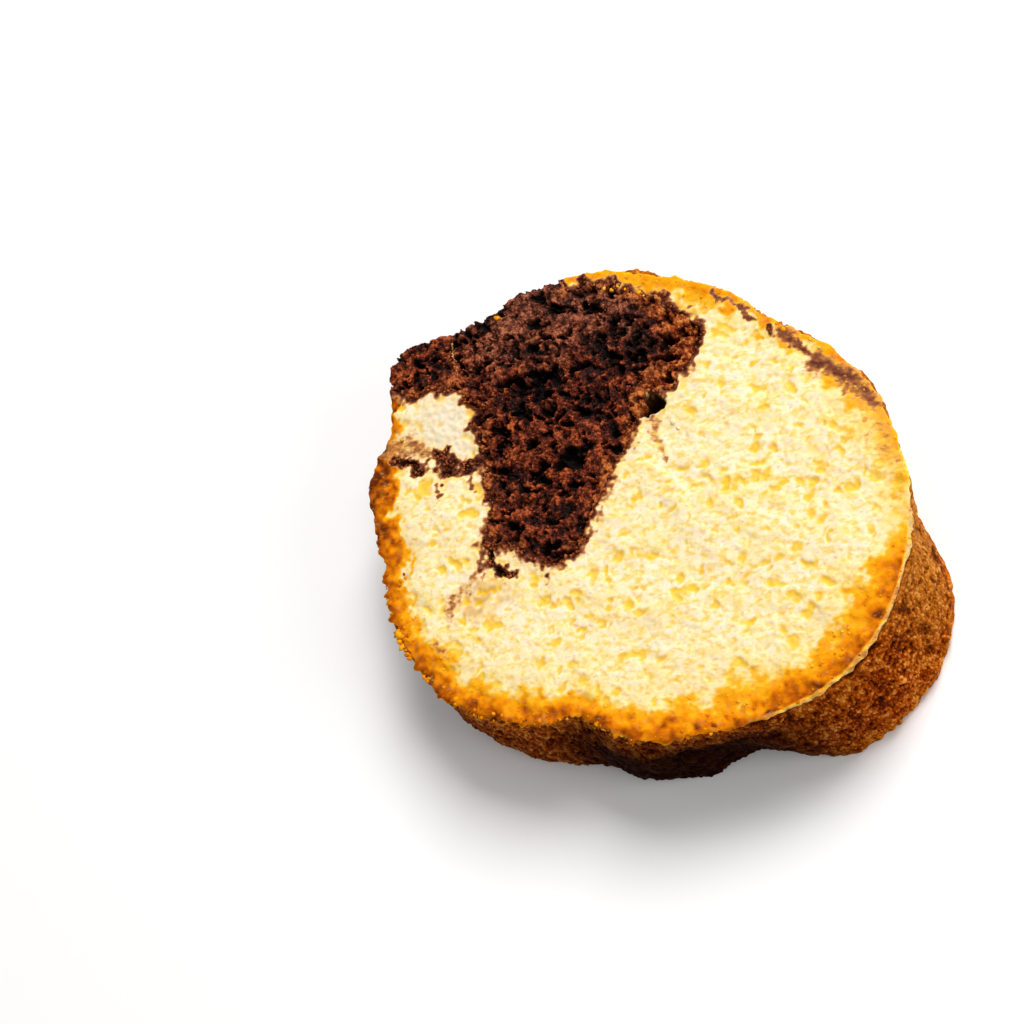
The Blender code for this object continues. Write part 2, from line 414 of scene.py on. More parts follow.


# Vanilla crumb: egg and butter make it warm cream, lightest on the cut cell walls, matt, and clear enough
# for light to glow through the walls. A deeper yellow is painted down in the bubbles as shade.
vanilla_crumb = bpy.data.materials.new("vanilla_crumb")
vanilla_crumb.use_nodes = True
tree = vanilla_crumb.node_tree
shader = tree.nodes["Principled BSDF"]
where = add_node(tree, "TexCoord").outputs["Object"]
mark = {name: add_node(tree, "Attribute", attribute_name=name).outputs["Fac"]
        for name in ("bake", "smear", "bubble_shade", "hole_shade", "pale", "beige")}
FLECK_SIZE = 1.0
PATCH_SIZE = 4.5
GRAIN_SIZE = 0.3
drawn = add_node(tree, "Mapping", {
    "Vector": where, "Rotation": (0.0, 0.0, math.radians(-CRUMB_LEAN)), "Scale": (0.6, 1.0, 1.0)}).outputs[0]
flecks = add_node(tree, "TexNoise", {
    "Vector": drawn, "Scale": 1 / (FLECK_SIZE * MM), "Detail": 3.0, "Roughness": 0.6}).outputs["Fac"]
patches = add_node(tree, "TexNoise", {
    "Vector": drawn, "Scale": 1 / (PATCH_SIZE * MM), "Detail": 3.0}).outputs["Fac"]
grain = add_node(tree, "TexNoise", {
    "Vector": where, "Scale": 1 / (GRAIN_SIZE * MM), "Detail": 4.0, "Roughness": 0.65}).outputs["Fac"]
cream = add_node(tree, "ValToRGB", {"Fac": flecks}, stops=(
    (0.35, "#f3d27a"), (0.64, "#ffeadb"), (0.50, "#fbe5b6"))).outputs[0]
warm = add_node(tree, "MapRange", {
    "Value": patches, "From Min": 0.46, "From Max": 0.70, "To Max": 0.5}).outputs[0]
cream = add_node(tree, "Mix", {0: warm, 6: cream, 7: colour("#f8dc90")}, data_type="RGBA").outputs[2]
tone = add_node(tree, "Mix", {0: mark["pale"], 6: cream, 7: colour("#ecdfc4")}, data_type="RGBA").outputs[2]
tan = add_node(tree, "Math", {0: mark["beige"], 1: 0.8}, operation="MULTIPLY").outputs[0]
tone = add_node(tree, "Mix", {0: tan, 6: tone, 7: colour("#d0a568")}, data_type="RGBA").outputs[2]
# Painted shade: a deeper yellow down in the bubbles.
deep = add_node(tree, "MapRange", {
    "Value": mark["bubble_shade"], "From Min": 0.10, "From Max": 0.85, "To Max": 0.85}).outputs[0]
tone = add_node(tree, "Mix", {0: deep, 6: tone, 7: colour("#f7c624")}, data_type="RGBA").outputs[2]
browned = add_node(tree, "Math", {0: flecks, 1: -0.5}, operation="ADD").outputs[0]
browned = add_node(tree, "Math", {0: browned, 1: 0.55, 2: mark["bake"]}, operation="MULTIPLY_ADD").outputs[0]
baked_tone = add_node(tree, "ValToRGB", {"Fac": browned}, stops=(
    (0.08, "#fcd056"), (1.0, "#6b2c05"), (0.28, "#f9b118"), (0.54, "#ea8e06"), (0.78, "#c06206"))).outputs[0]
golden = add_node(tree, "MapRange", {
    "Value": browned, "From Min": 0.02, "From Max": 0.28}, interpolation_type="SMOOTHSTEP").outputs[0]
tone = add_node(tree, "Mix", {0: golden, 6: tone, 7: baked_tone}, data_type="RGBA").outputs[2]
stained = add_node(tree, "Math", {0: flecks, 1: -0.5}, operation="ADD").outputs[0]
stained = add_node(tree, "Math", {0: stained, 1: 0.9, 2: mark["smear"]}, operation="MULTIPLY_ADD").outputs[0]
stain_tone = add_node(tree, "ValToRGB", {"Fac": stained}, stops=(
    (0.10, "#f2cc86"), (1.0, "#1c0703"), (0.30, "#c78846"), (0.50, "#8c5138"), (0.72, "#54261a"))).outputs[0]
stain = add_node(tree, "MapRange", {
    "Value": stained, "From Min": 0.05, "From Max": 0.40}, interpolation_type="SMOOTHSTEP").outputs[0]
tone = add_node(tree, "Mix", {0: stain, 6: tone, 7: stain_tone}, data_type="RGBA").outputs[2]
# Painted shade: dark brown inside the large holes.
tone = add_node(tree, "Mix", {0: mark["hole_shade"], 6: tone, 7: colour("#2e1604")}, data_type="RGBA").outputs[2]
bump = add_node(tree, "Bump", {"Height": grain, "Strength": 0.6, "Distance": 0.08 * MM}).outputs[0]
tree.links.new(tone, shader.inputs["Base Color"])
tree.links.new(bump, shader.inputs["Normal"])
shader.inputs["Roughness"].default_value = 0.85
shader.inputs["Specular IOR Level"].default_value = 0.04
shader.inputs["Subsurface Weight"].default_value = 0.8
shader.inputs["Subsurface Radius"].default_value = (1.0, 0.62, 0.30)
shader.inputs["Subsurface Scale"].default_value = 1.3 * MM

# Level of each ring while the body is still flat, from the front cut to the back cut.
FRONT, LIP, TUCK, BACK, BACK_TUCK, POCKET_FLOOR = 0.0, -1.0, -2.0, -10.0, -9.0, -20.0
TUCK_INSET = 2.4
face_box = (low[0], high[0], low[1], high[1])
wide_box = (low[0] - 2.0, high[0] + 2.0, low[1] - 2.0, high[1] + 2.0)
body = bmesh.new()
ring = clipped_grid(body, SPONGE_STEP, FRONT, wide_box, in_sponge)
outer = [e for e in ring if gap_to_side(*e.verts[0].co.xy, RIM_HEIGHT) < 1.0]
pocket = [e for e in ring if gap_to_side(*e.verts[0].co.xy, RIM_HEIGHT) >= 1.0]
on_rim = body.verts.layers.int.new("on_rim")
for edge in outer:
    for vert in edge.verts:
        vert[on_rim] = 1
tucked = skirt(body, outer, LIP, TUCK)
pocket_floor = skirt(body, pocket, POCKET_FLOOR)
bmesh.ops.holes_fill(body, edges=pocket_floor, sides=0)
back_ring = clipped_grid(body, SPONGE_BACK_STEP, BACK, wide_box, in_back)
for edge in back_ring:
    for vert in edge.verts:
        vert[on_rim] = 1
back_tucked = skirt(body, back_ring, BACK_TUCK)
bmesh.ops.bridge_loops(body, edges=tucked + back_tucked)
sponge = piece_from(body, "vanilla_sponge", vanilla_crumb)

points = points_of(sponge.data)
level = points[:, 2].copy()
rim_mark = np.empty(len(points), np.int32)
sponge.data.attributes["on_rim"].data.foreach_get("value", rim_mark)
sponge.data.attributes.remove(sponge.data.attributes["on_rim"])
x, y = points[:, 0], points[:, 1]
theta = np.arctan2(y, x)
front_side, is_back = level > BACK_TUCK + 0.5, level < BACK_TUCK + 0.5
is_floor = level < BACK - 1.0
is_back &= ~is_floor
bed = read_field(cocoa_bed, x, y)
ragged = read_field(blotches(FACE, 1.3, 51) * 0.16 + blotches(FACE, 4.0, 52) * 0.12, x, y)
rim = side_radius(theta, RIM_HEIGHT)
crumbled = ease(np.cos(theta - math.radians(232.0)), 0.35, 0.85)
frayed = ragged + 0.34 * crumbled * read_field(blotches(FACE, 0.9, 53) + 0.7 * blotches(FACE, 2.2, 54), x, y)
to_rim = np.where(level == FRONT, rim + frayed, np.where(level == LIP, rim - 0.35, rim - TUCK_INSET))
to_rim = to_rim - 0.5 * bed * (level > TUCK - 0.5)
back_rim = side_radius(theta, 0.0)
to_rim = np.where(level == BACK, back_rim - 0.6 + ragged, to_rim)
to_rim = np.where(level == BACK_TUCK, back_rim - TUCK_INSET, to_rim)
moved = (rim_mark == 1) | (level == LIP) | (level == TUCK) | (level == BACK_TUCK)
scale = np.where(moved, to_rim / np.hypot(x, y), 1.0)
x, y = x * scale, y * scale
top = cut_height(x, y)
relief = read_field(sponge_relief, x, y)
z = top + relief - bed
z = np.where(level == LIP, top - bed - 0.9, z)
z = np.where(level == TUCK, top - bed - 2.0, z)
z = np.where(level == BACK, np.maximum(0.0, -0.6 * relief), z)
z = np.where(level == BACK_TUCK, 1.5, z)
z = np.where(is_floor, 14.0, z)
grow = np.where(is_back, rim / back_rim, 1.0)
marks = {name: read_field(field, x * grow, y * grow) for name, field in (
    ("bake", bake), ("smear", smear), ("bubble_shade", bubble_shade), ("hole_shade", hole_shade), ("pale", pale), ("beige", beige))}
swirl = ease(read_field(cocoa_depth, x * grow, y * grow), -0.8, 0.6)
marks["smear"] = np.where(is_back, np.maximum(0.8 * swirl, 0.6 * marks["smear"]), marks["smear"])
marks["hole_shade"] = np.where(is_back, 0.0, marks["hole_shade"])
turned = np.degrees(theta) % 360.0
dragged = front_side * (1.0 - ease(rim - np.hypot(x, y), 0.35, 0.95))
dragged = dragged * ease(turned, *KNIFE_LINE[:2]) * (1.0 - ease(turned, *KNIFE_LINE[2:]))
marks["bake"] = marks["bake"] * (1.0 - 0.85 * dragged)
marks["beige"] = np.maximum(marks["beige"], 0.8 * dragged)
marks["smear"] = np.maximum(marks["smear"], 0.27 * dragged)
place(sponge.data, np.column_stack((x, y, z)), **marks)

# ---------------------------------------------------------------------------------------
# Cocoa swirl. The darker batter, spooned in at the top and drawn down by the fork: a
# coarser, wetter crumb that tore into grains and left deep ragged cavities. It is a plug
# that fills the sponge's pocket and stands level with the cut.
COCOA_STEP = 0.175
COCOA_LEAN = -8.0
COCOA_FLOOR = 13.0
# Deep cavities: x, y, half height, depth, how drawn out, and which way each leans.
COCOA_CAVITIES = (
    (-30.5, 31.0, 1.2, 3.0, 1.5, -35.0), (-23.5, 26.6, 1.5, 3.4, 2.3, -12.0),
    (-17.5, 27.6, 1.4, 3.4, 3.0, 6.0), (-15.0, 24.2, 0.8, 2.4, 3.2, 4.0),
    (-25.0, 16.2, 1.1, 2.8, 2.0, -8.0), (-10.4, 10.6, 2.4, 3.8, 1.9, 24.0),
    (-16.5, 8.4, 1.1, 2.8, 2.0, 10.0), (-22.4, 1.6, 1.2, 2.6, 1.6, 10.0),
    (-14.0, -1.2, 0.8, 2.4, 2.4, 8.0), (-14.8, -6.9, 1.6, 3.4, 1.1, 0.0),
    (1.8, 36.4, 0.9, 2.4, 1.4, -20.0), (3.0, 29.3, 1.2, 3.0, 1.6, 4.0),
    (9.0, 31.2, 1.4, 2.4, 1.3, 10.0), (4.2, 25.7, 0.9, 2.8, 1.7, 10.0),
    (9.2, 23.6, 1.1, 2.4, 1.5, 20.0), (-5.2, 33.4, 0.7, 2.2, 1.7, -10.0),
    (-7.5, 21.6, 0.8, 2.2, 2.2, 6.0), (-20.4, 20.2, 0.8, 2.0, 2.2, -8.0),
    (-25.4, 9.4, 0.9, 2.4, 1.9, 0.0), (-20.5, -2.2, 0.8, 2.2, 1.8, 12.0),
    (-9.5, 4.0, 0.9, 2.4, 2.0, 14.0), (-36.8, 36.2, 0.7, 1.8, 1.6, -20.0),
    (-41.0, 33.2, 0.6, 1.6, 1.6, 0.0), (-2.6, 26.8, 0.8, 2.2, 2.0, 8.0),
)
cocoa_box = (-51.0, 17.5, -12.5, high[1] + 1.5)
grains = np.full(FACE, -1.2)
lumps = scatter(61, 20000, cocoa_box, (0.28, 0.85), (-1.5, -0.5), (0.45, 1.1), 1.4, COCOA_LEAN, 50)
caps(grains, corner, wander_x, wander_y, lumps, np.maximum)
gaps = np.zeros(FACE)
small = scatter(62, 650, cocoa_box, (0.38, 1.15), (0.1, 0.4), (-1.4, -2.7), 2.2, COCOA_LEAN, 22)
caps(gaps, corner, wander_x, wander_y, small, np.minimum)
cavities = [(x, y, radius, 0.2, -depth, stretch, lean)
            for x, y, radius, depth, stretch, lean in COCOA_CAVITIES]
torn_x = X + 0.8 * blotches(FACE, 2.6, 63) + 0.3 * blotches(FACE, 1.0, 64)
torn_y = Y + 0.6 * blotches(FACE, 2.6, 65) + 0.3 * blotches(FACE, 1.0, 66)
caps(gaps, corner, torn_x, torn_y, cavities, np.minimum)
cocoa_relief = grains + np.minimum(gaps, 0.0) + 0.26 * blotches(FACE, 2.2, 67, 1.8, COCOA_LEAN)
cocoa_relief += 0.22 * blotches(FACE, 7.0, 68)
dusty = ease(Y + 2.0 * blotches(FACE, 3.0, 69), 24.0, 40.0) * ease(X, -42.0, -25.0) * (1.0 - ease(X, 2.0, 12.0))
cocoa_relief = np.where(cocoa_relief > 0.3, 0.3 + 0.4 * (cocoa_relief - 0.3), cocoa_relief)
# Painted shade: darker the deeper the cocoa lies and near black in its cavities; also darker towards the bottom of the
# swirl.
cavity_shade_and_low_darkening = clamp((0.1 - cocoa_relief) / 2.2 + 0.14 * (1.0 - ease(Y, -4.0, 12.0)))
cocoa_edge = 1.0 - ease(cocoa_depth + 0.6 * blotches(FACE, 2.0, 70), 0.0, 2.2 + 7.8 * ease(X, 0.0, 9.0))
cocoa_edge *= 0.6 + 0.4 * ease(X, -2.0, 9.0)
cocoa_fall = 3.0 * ease(-cocoa_depth, 0.0, 0.9)


def in_cocoa(x, y):
    return (gap_to_side(x, y, RIM_HEIGHT) > 0.1) & (read_field(cocoa_depth, x, y) > -1.0)


# Cocoa crumb: dark and slightly moist, with red-brown grains where light comes through them and a dusty
# grey brown where the knife smeared it. Its cavities are painted near black as shade.
cocoa_crumb = bpy.data.materials.new("cocoa_crumb")
cocoa_crumb.use_nodes = True
tree = cocoa_crumb.node_tree
shader = tree.nodes["Principled BSDF"]
where = add_node(tree, "TexCoord").outputs["Object"]
mark = {name: add_node(tree, "Attribute", attribute_name=name).outputs["Fac"]
        for name in ("depth", "edge", "dust")}
GRAIN_SIZE = 0.5
LUMP_SIZE = 1.8
cell = add_node(tree, "TexVoronoi", {"Vector": where, "Scale": 1 / (GRAIN_SIZE * MM)})
by_grain = add_node(tree, "SeparateColor", {"Color": cell.outputs["Color"]}).outputs[0]
speckle = add_node(tree, "TexNoise", {
    "Vector": where, "Scale": 1 / (LUMP_SIZE * MM), "Detail": 4.0, "Roughness": 0.65}).outputs["Fac"]
speckle = add_node(tree, "Math", {0: speckle, 1: 1.5, 2: -0.22}, operation="MULTIPLY_ADD").outputs[0]
# Painted shade: the depth mark darkens the cavities towards near black.
tone = add_node(tree, "Math", {0: mark["depth"], 1: -0.76, 2: speckle}, operation="MULTIPLY_ADD").outputs[0]
tone = add_node(tree, "Math", {0: by_grain, 1: 0.26, 2: tone}, operation="MULTIPLY_ADD").outputs[0]
tone = add_node(tree, "Math", {0: cell.outputs["Distance"], 1: -0.25, 2: tone}, operation="MULTIPLY_ADD").outputs[0]
cocoa_tone = add_node(tree, "ValToRGB", {"Fac": tone}, stops=(
    (0.05, "#070100"), (0.76, "#b8582a"), (0.28, "#2c0b05"), (0.50, "#66250f"))).outputs[0]
dusty_tone = add_node(tree, "ValToRGB", {"Fac": tone}, stops=(
    (0.05, "#0d0402"), (0.76, "#a87358"), (0.28, "#381a10"), (0.50, "#6c3c2a"))).outputs[0]
dust = add_node(tree, "Math", {0: mark["dust"], 1: 0.55}, operation="MULTIPLY").outputs[0]
cocoa_tone = add_node(tree, "Mix", {0: dust, 6: cocoa_tone, 7: dusty_tone}, data_type="RGBA").outputs[2]
edge_tone = add_node(tree, "ValToRGB", {"Fac": tone}, stops=(
    (0.05, "#380c03"), (0.64, "#d98440"), (0.20, "#6e2608"), (0.38, "#9a4414"))).outputs[0]
cocoa_tone = add_node(tree, "Mix", {0: mark["edge"], 6: cocoa_tone, 7: edge_tone}, data_type="RGBA").outputs[2]
bump = add_node(tree, "Bump", {
    "Height": cell.outputs["Distance"], "Strength": 1.0, "Distance": 0.18 * MM}, invert=True).outputs[0]
tree.links.new(cocoa_tone, shader.inputs["Base Color"])
tree.links.new(bump, shader.inputs["Normal"])
shader.inputs["Roughness"].default_value = 0.62
shader.inputs["Specular IOR Level"].default_value = 0.12
shader.inputs["Subsurface Weight"].default_value = 0.1
shader.inputs["Subsurface Radius"].default_value = (1.0, 0.35, 0.2)
shader.inputs["Subsurface Scale"].default_value = 0.4 * MM

plug = bmesh.new()
ring = clipped_grid(plug, COCOA_STEP, FRONT, cocoa_box, in_cocoa)
on_rim = plug.verts.layers.int.new("on_rim")
for edge in ring:
    for vert in edge.verts:
        vert[on_rim] = 1
plug_floor = skirt(plug, ring, LIP, TUCK, POCKET_FLOOR)
bmesh.ops.holes_fill(plug, edges=plug_floor, sides=0)
cocoa = piece_from(plug, "cocoa_swirl", cocoa_crumb)

points = points_of(cocoa.data)
level = points[:, 2].copy()
rim_mark = np.empty(len(points), np.int32)
cocoa.data.attributes["on_rim"].data.foreach_get("value", rim_mark)
cocoa.data.attributes.remove(cocoa.data.attributes["on_rim"])
x, y = points[:, 0], points[:, 1]
rim = side_radius(np.arctan2(y, x), RIM_HEIGHT)
at_rim = (rim - np.hypot(x, y) < 0.9) & ((rim_mark == 1) | (level < FRONT))
ragged = read_field(blotches(FACE, 1.3, 51) * 0.16 + blotches(FACE, 4.0, 52) * 0.12, x, y)
to_rim = np.where(level == FRONT, rim + ragged, np.where(level == LIP, rim - 0.3, rim - TUCK_INSET))
scale = np.where(at_rim, to_rim / np.hypot(x, y), 1.0)
x, y = x * scale, y * scale
top = cut_height(x, y)
z = top + read_field(cocoa_relief - cocoa_fall, x, y)
z = np.where(level == LIP, top - np.where(at_rim, 2.8, 3.6), z)
z = np.where(level == TUCK, top - np.where(at_rim, 3.6, 4.0), z)
z = np.where(level == POCKET_FLOOR, COCOA_FLOOR, z)
marks = {name: read_field(field, x, y) for name, field in (
    ("depth", cavity_shade_and_low_darkening), ("edge", cocoa_edge), ("dust", dusty))}
place(cocoa.data, np.column_stack((x, y, z)), **marks)

# ---------------------------------------------------------------------------------------
# Baked crust. The skin that set against the greased tin and over the domed top: thin,
# brown, finely pitted as if fried, and orange where its torn edge lets light through.
HOOP = 20.0
SKIN_THICKNESS = 3.0
SKIN_AROUND = 1120
SKIN_UP = 76
SKIN_BELOW_CUT = 0.55
SKIN_ABOVE_BACK = 0.25
GIRTH = 2.0 * math.pi * float(side_radius(table_angles, 12.0).mean())

girth_columns, height_rows = int(GIRTH / STEP), int((high[2] + 2.0) / STEP)
WALL = (height_rows, girth_columns)
along_girth, up_wall = np.meshgrid(np.arange(girth_columns) * STEP, np.arange(height_rows) * STEP)
girth = girth_columns * STEP
wall_x = along_girth + 0.25 * blotches(WALL, 1.4, 71)
wall_y = up_wall + 0.25 * blotches(WALL, 1.4, 72)
wall_box = (0.0, girth, 0.0, high[2] + 1.0)
dimples = np.zeros(WALL)
caps(dimples, (0.0, 0.0), wall_x, wall_y, scatter(73, 8000, wall_box, (0.28, 0.75), (0.0, 0.1), (-0.2, -0.55), 1.8, 90.0, 25), np.minimum)
caps(dimples, (0.0, 0.0), wall_x, wall_y, scatter(74, 150, wall_box, (0.7, 1.5), (0.05, 0.15), (-0.5, -1.0), 1.5, 0.0, 60), np.minimum)
grit = np.zeros(WALL)
caps(grit, (0.0, 0.0), wall_x, wall_y, scatter(75, 5600, wall_box, (0.22, 0.5), (-0.05, 0.0), (0.12, 0.34), 1.7, 90.0, 25), np.maximum)
wall_degrees = along_girth / girth * 360.0
smooth_zone = ease(np.cos(np.radians(wall_degrees - 2.0)), 0.80, 0.97)
wall_relief = (dimples + grit) * (1.0 - 0.6 * smooth_zone) + 0.10 * blotches(WALL, 1.2, 76)
wall_relief += 0.22 * blotches(WALL, 4.5, 77) + 0.25 * blotches(WALL, 11.0, 78)
# Painted shade: darker in the dimples and lighter on the grit that stands out.
wall_pit_shade = clamp(0.25 - 1.6 * (dimples + 0.8 * grit))


def read_wall(field, angle, height):
    """Value of a wall field at any angles and heights of the baked side."""
    column = (angle / (2.0 * math.pi) % 1.0) * girth_columns
    row = np.clip(height / STEP, 0, height_rows - 1.001)
    left, below = column.astype(int) % girth_columns, row.astype(int)
    right, across, up = (left + 1) % girth_columns, column - np.floor(column), row - below
    lower = field[below, left] * (1 - across) + field[below, right] * across
    upper = field[below + 1, left] * (1 - across) + field[below + 1, right] * across
    return lower * (1 - up) + upper * up


# Pan crust: sugar and butter browned against metal, tan on its ridges and painted dark in its pits as
# shade, with the faint greasy sheen of the tin.
pan_crust = bpy.data.materials.new("pan_crust")
pan_crust.use_nodes = True
tree = pan_crust.node_tree
shader = tree.nodes["Principled BSDF"]
where = add_node(tree, "TexCoord").outputs["Object"]
mark = {name: add_node(tree, "Attribute", attribute_name=name).outputs["Fac"]
        for name in ("pit", "light", "edge", "cocoa", "dark")}
MOTTLE_SIZE = 2.2
GRAIN_SIZE = 0.45
drawn = add_node(tree, "Mapping", {"Vector": where, "Scale": (1.0, 1.0, 0.5)}).outputs[0]
mottle = add_node(tree, "TexNoise", {
    "Vector": drawn, "Scale": 1 / (MOTTLE_SIZE * MM), "Detail": 4.0, "Roughness": 0.65}).outputs["Fac"]
cell = add_node(tree, "TexVoronoi", {"Vector": drawn, "Scale": 1 / (GRAIN_SIZE * MM)})
by_grain = add_node(tree, "SeparateColor", {"Color": cell.outputs["Color"]}).outputs[0]
# Painted shade: the pit mark darkens the dimples.
tone = add_node(tree, "Math", {0: mark["pit"], 1: -0.36, 2: mottle}, operation="MULTIPLY_ADD").outputs[0]
tone = add_node(tree, "Math", {0: by_grain, 1: 0.36, 2: tone}, operation="MULTIPLY_ADD").outputs[0]
tone = add_node(tree, "Math", {0: cell.outputs["Distance"], 1: -0.30, 2: tone}, operation="MULTIPLY_ADD").outputs[0]
brown = add_node(tree, "ValToRGB", {"Fac": tone}, stops=(
    (0.06, "#2a0900"), (0.80, "#e09a46"), (0.28, "#6c2200"), (0.50, "#ac4e04"))).outputs[0]
# Painted light: a lighter copy of the crust colour, used on the right side.
light = add_node(tree, "ValToRGB", {"Fac": tone}, stops=(
    (0.06, "#5a2606"), (0.78, "#dc9c4c"), (0.28, "#96500a"), (0.50, "#bc7020"))).outputs[0]
crust_tone = add_node(tree, "Mix", {0: mark["light"], 6: brown, 7: light}, data_type="RGBA").outputs[2]
orange = add_node(tree, "ValToRGB", {"Fac": tone}, stops=(
    (0.06, "#7a3203"), (0.78, "#f0a440"), (0.42, "#c4690a"))).outputs[0]
crust_tone = add_node(tree, "Mix", {0: mark["edge"], 6: crust_tone, 7: orange}, data_type="RGBA").outputs[2]
crust_tone = add_node(tree, "Mix", {0: mark["cocoa"], 6: crust_tone, 7: colour("#34150a")}, data_type="RGBA").outputs[2]
# Painted shade: the dark mark turns the underside and the left foot of the crust near black.
crust_tone = add_node(tree, "Mix", {0: mark["dark"], 6: crust_tone, 7: colour("#120200")}, data_type="RGBA").outputs[2]
bump = add_node(tree, "Bump", {
    "Height": cell.outputs["Distance"], "Strength": 0.9, "Distance": 0.16 * MM}, invert=True).outputs[0]
tree.links.new(crust_tone, shader.inputs["Base Color"])
tree.links.new(bump, shader.inputs["Normal"])
shader.inputs["Roughness"].default_value = 0.45
shader.inputs["Specular IOR Level"].default_value = 0.006
shader.inputs["Subsurface Weight"].default_value = 0.08
shader.inputs["Subsurface Radius"].default_value = (1.0, 0.4, 0.15)
shader.inputs["Subsurface Scale"].default_value = 0.5 * MM

# The skin starts as a thin tube of unit height, whose ends turn in to an inner wall.
band = bmesh.new()
bmesh.ops.create_cone(
    band, segments=SKIN_AROUND, cap_ends=False, radius1=HOOP, radius2=HOOP, depth=1.0)
bmesh.ops.subdivide_edges(
    band, edges=[e for e in band.edges if not e.is_boundary], cuts=SKIN_UP - 1)
foot = [e for e in band.edges if e.is_boundary and e.verts[0].co.z < 0.0]
crest = [e for e in band.edges if e.is_boundary and e.verts[0].co.z > 0.0]
bmesh.ops.bridge_loops(band, edges=skirt(band, foot, -1.0) + skirt(band, crest, 1.0))
crust = piece_from(band, "baked_crust", pan_crust)

points = points_of(crust.data)
theta = np.arctan2(points[:, 1], points[:, 0])
inset = np.where(abs(points[:, 2]) > 0.6, SKIN_THICKNESS, 0.0)
share = clamp(points[:, 2] + 0.5)
turned = np.degrees(theta) % 360.0
at_cocoa = ease(np.cos(theta - math.radians(121.0)), 0.88, 0.965)
rim = 0.98 * side_radius(theta, RIM_HEIGHT)
top = cut_height(rim * np.cos(theta), rim * np.sin(theta)) - SKIN_BELOW_CUT - 1.6 * at_cocoa
height = SKIN_ABOVE_BACK + share * (top - SKIN_ABOVE_BACK)
outside = inset < 0.01
height = np.where(outside, height, height + np.where(share > 0.5, -2.4, 0.6))
relief = np.where(outside, read_wall(wall_relief, theta, height), 0.0)
radius = side_radius(theta, height) - inset + relief
wavy = height + 0.6 * read_wall(blotches(WALL, 2.0, 79), theta, height)
back_edge = ease(np.cos(np.radians(turned - 330.0)), 0.72, 0.92)
shaded_underside = ease(np.cos(np.radians(turned - 276.0)), 0.75, 0.97)
crown = ease(np.cos(np.radians(turned - 68.0)), 0.55, 0.75)
left_foot = ease(np.cos(np.radians(turned - 225.0)), 0.75, 0.95)
marks = {
    "pit": read_wall(wall_pit_shade, theta, height),
    # Painted light: the smoother stretch at the right is coloured lighter, as if lit, and less so near the back cut.
    "light": read_wall(smooth_zone, theta, height) * ease(height, 1.0, 9.0),
    "edge": np.maximum(0.9 * (1.0 - ease(wavy, 0.6, 4.0)) * (0.25 + 0.75 * back_edge),
                       (0.12 + 0.80 * np.maximum(crown, 0.25 * left_foot)) * ease(wavy, 15.0, 21.0)),
    "cocoa": 0.8 * at_cocoa,
    # Painted shade: near black under the slice and darker at the left foot, fading towards the front cut.
    "dark": np.maximum(0.40 * left_foot * (1.0 - ease(wavy, 8.0, 23.0)),
                       0.97 * shaded_underside * (1.0 - ease(wavy, 13.0, 27.0))),
}
place(crust.data, np.column_stack((radius * np.cos(theta), radius * np.sin(theta), height)), **marks)

# ---------------------------------------------------------------------------------------
# Loose crumbs. The knife tore grains out of both batters and out of the golden rim, and
# they lie where they fell, half pressed into the moist crumb.
COCOA_CRUMBS = 3400
RIM_CRUMBS = 450
EDGE_CRUMBS = 110
# Grains in the thread of pale batter that runs down across the cocoa.
THREAD_GRAINS = 30
# Golden clumps that hang at the rim: x, y, spread and how many grains.
RIM_CLUMPS = (
    (-46.0, -20.0, 0.9, 60), (-44.8, -22.2, 0.7, 30), (-41.4, -27.8, 0.6, 16),
    (-46.2, -9.0, 0.5, 12), (-30.6, -37.4, 0.5, 12),
)
# Larger bits at known places: x, y, radius and how brown.
VANILLA_BITS = (
    (-25.8, 40.7, 0.95, 0.45),
    (-3.6, 43.0, 0.45, 0.20), (-2.2, 42.6, 0.55, 0.32), (-1.0, 43.2, 0.40, 0.28),
    (0.6, 42.2, 0.40, 0.30), (3.2, 41.2, 0.55, 0.32), (4.2, 40.4, 0.40, 0.30),
    (9.6, 14.6, 0.70, 0.0), (10.6, 13.2, 0.45, 0.0), (31.2, 29.2, 0.55, 0.35),
    (-46.4, -19.6, 0.75, 0.36), (-46.6, -20.8, 0.85, 0.40), (-45.8, -21.8, 0.75, 0.36),
)


def crumb_mesh(name, material, seed, places, radii, heights, sunk):
    """Joins one small rough ball per crumb into a single piece and returns it with all its points."""
    ball = bmesh.new()
    bmesh.ops.create_icosphere(ball, subdivisions=1, radius=1.0)
    corners = np.array([vert.co for vert in ball.verts])
    sides = np.array([[vert.index for vert in face.verts] for face in ball.faces])
    ball.free()
    rng = np.random.default_rng(seed)
    count = len(radii)
    rough = rng.uniform(0.72, 1.25, (count, len(corners), 1))
    turn = rng.normal(size=(count, 3, 3))
    turn, _ = np.linalg.qr(turn)
    squat = rng.uniform(0.65, 1.1, (count, 1, 3))
    shapes = np.einsum("ckj,cij->cki", corners[None] * rough * squat, turn) * radii[:, None, None]
    centres = np.column_stack((places[:, 0], places[:, 1], heights + (0.5 - sunk) * radii))
    points = (shapes + centres[:, None, :]).reshape(-1, 3)
    faces = (sides[None] + len(corners) * np.arange(count)[:, None, None]).reshape(-1, 3)
    mesh = bpy.data.meshes.new(name)
    mesh.from_pydata((points * MM).tolist(), [], faces.tolist())
    mesh.shade_smooth()
    mesh.materials.append(material)
    made = bpy.data.objects.new(name, mesh)
    bpy.context.scene.collection.objects.link(made)
    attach(made, "root")
    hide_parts(CAKE)
    return made, points


